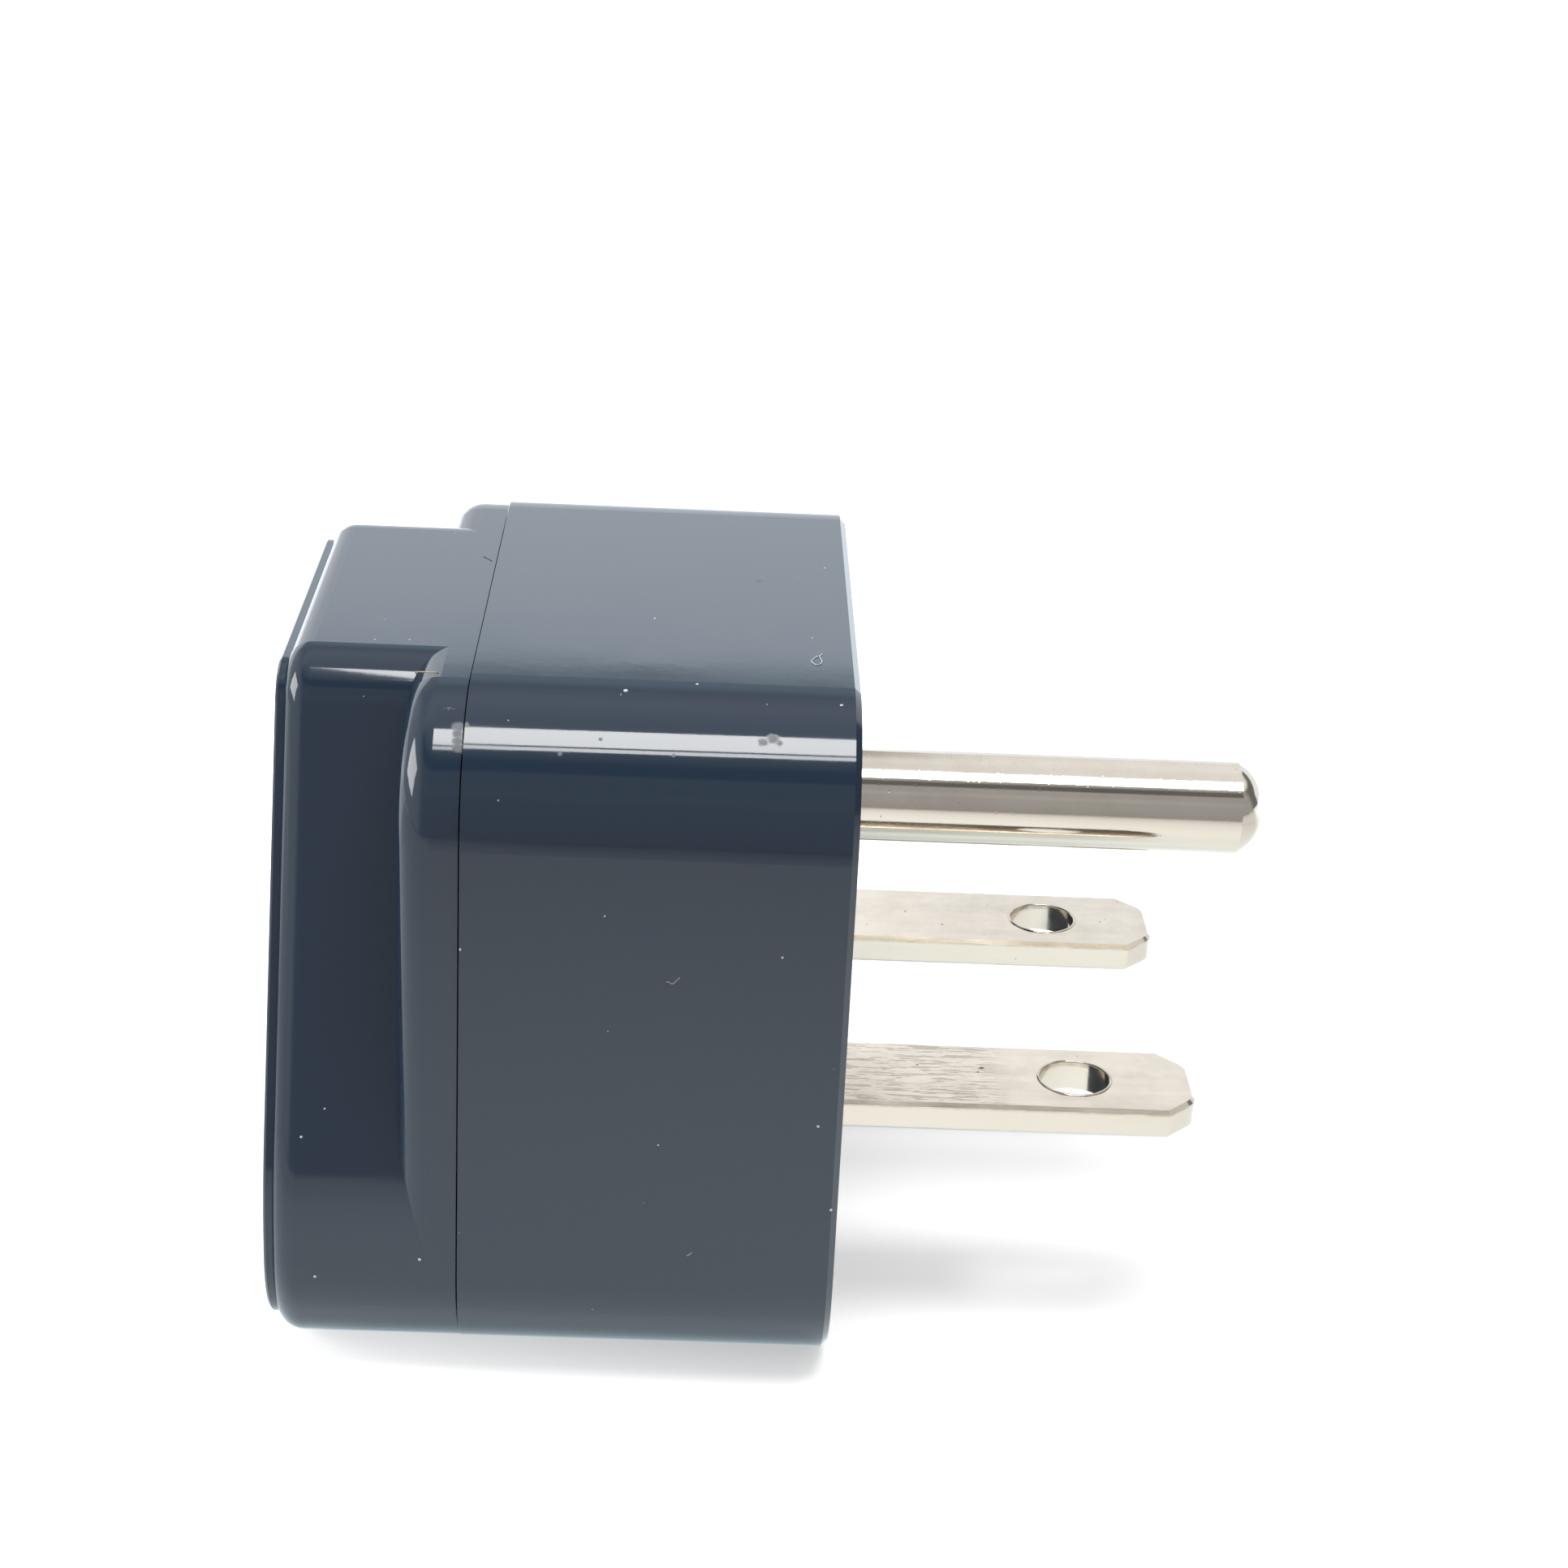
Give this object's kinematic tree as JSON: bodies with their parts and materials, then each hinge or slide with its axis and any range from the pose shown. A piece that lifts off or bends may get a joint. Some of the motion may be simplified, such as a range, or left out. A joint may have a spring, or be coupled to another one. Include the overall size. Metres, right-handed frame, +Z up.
{
  "type": "plug adapter",
  "caption": "Black moulded travel plug adapter: flat coplanar blades and a round ground pin on one side, a square-pin socket block with leaning sides on the other.",
  "frame": {"origin": "centre of the whole length and width, on the flat bottom that the adapter stands on", "axes": "+X the way the plug pins point, +Y across the adapter (the reference picture looks along +Y), +Z up, towards the ground pin"},
  "size_m": [0.0494, 0.0376, 0.0348],
  "materials": {
    "base_plastic": "glossy blue-black moulded thermoplastic with light dust and scuffs",
    "cover_plastic": "glossy blue-black moulded thermoplastic",
    "carrier_plastic": "plain moulded insulator",
    "blade_nickel": "nickel-plated stamped brass, fine scratches, bright edges",
    "pin_nickel": "nickel-plated turned brass",
    "contact_brass": "stamped brass strip",
    "spring_steel": "blued spring steel strip",
    "screw_steel": "zinc-plated steel"
  },
  "bodies": {
    "root": {"base_shell": "base_plastic", "socket_cover": "cover_plastic", "contact_carrier": "carrier_plastic", "live_blade": "blade_nickel", "neutral_blade": "blade_nickel", "ground_pin": "pin_nickel", "live_contact": "contact_brass", "neutral_contact": "contact_brass", "earth_contact": "contact_brass", "live_spring_clip": "spring_steel", "neutral_spring_clip": "spring_steel", "earth_spring_clip": "spring_steel", "housing_screws": "screw_steel"}
  },
  "joints": []
}
